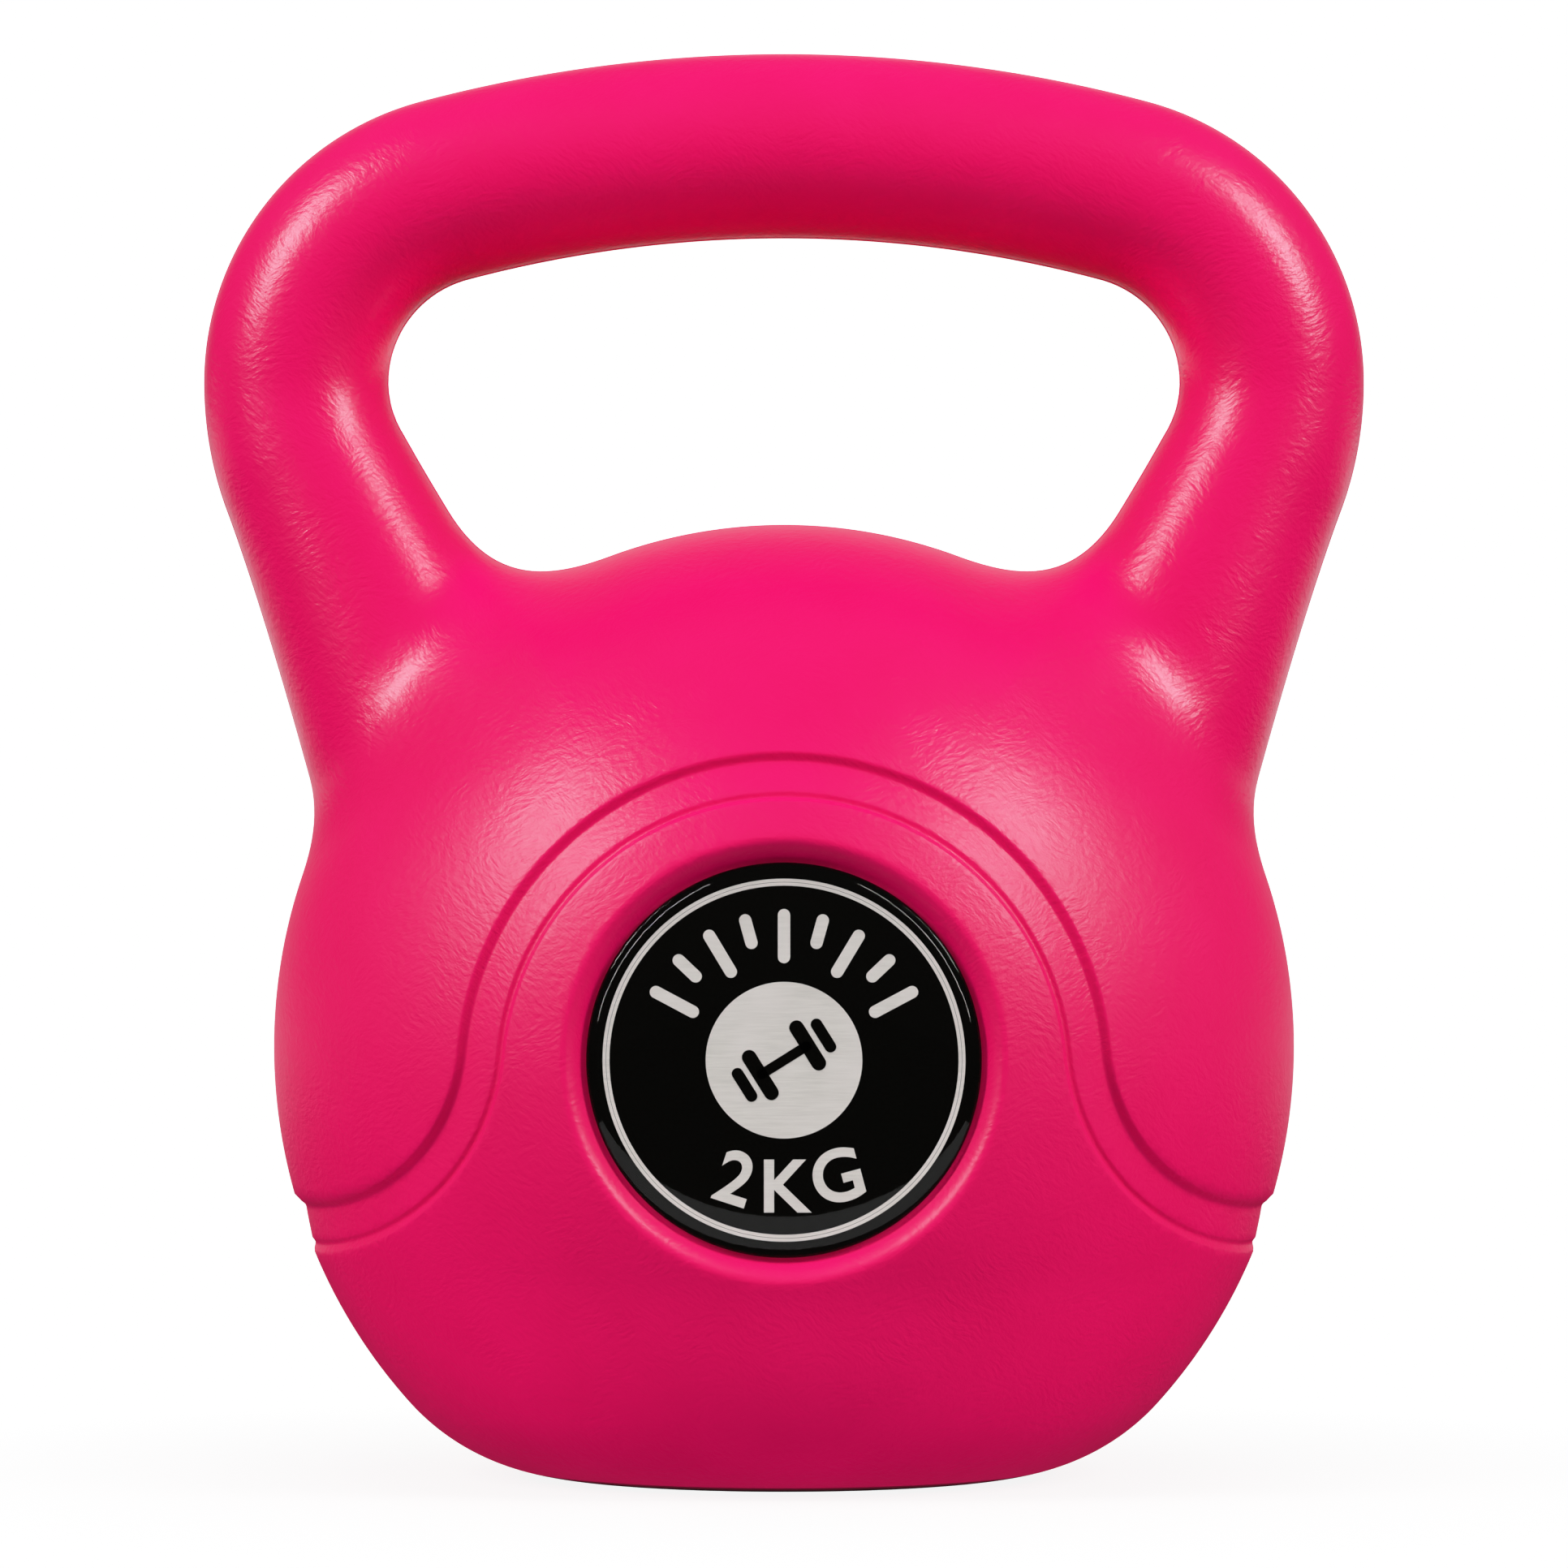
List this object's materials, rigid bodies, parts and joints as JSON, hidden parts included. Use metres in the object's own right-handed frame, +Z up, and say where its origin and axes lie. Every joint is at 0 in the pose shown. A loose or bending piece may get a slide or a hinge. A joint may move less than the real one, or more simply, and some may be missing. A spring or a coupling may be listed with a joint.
{
  "type": "kettlebell",
  "caption": "Small filled plastic kettlebell: flattened ball with a broad looped handle, a recessed band on each face and a round domed badge in a pocket.",
  "frame": {"origin": "middle of the underside, on the surface the kettlebell stands on", "axes": "+Z up through the handle, -Y out of the front badge, X along the grip"},
  "size_m": [0.157, 0.1136, 0.1922],
  "materials": {
    "shell_plastic": "satin",
    "cement_filling": "matte",
    "plug_plastic": "satin",
    "badge_adhesive": "matte",
    "badge_print": "satin",
    "badge_resin": "gloss"
  },
  "bodies": {
    "root": {"shell": "shell_plastic", "ballast": "cement_filling", "base_plug": "plug_plastic", "front_label_adhesive": "badge_adhesive", "front_label_film": "badge_print", "front_label_dome": "badge_resin", "rear_label_adhesive": "badge_adhesive", "rear_label_film": "badge_print", "rear_label_dome": "badge_resin"}
  },
  "joints": []
}
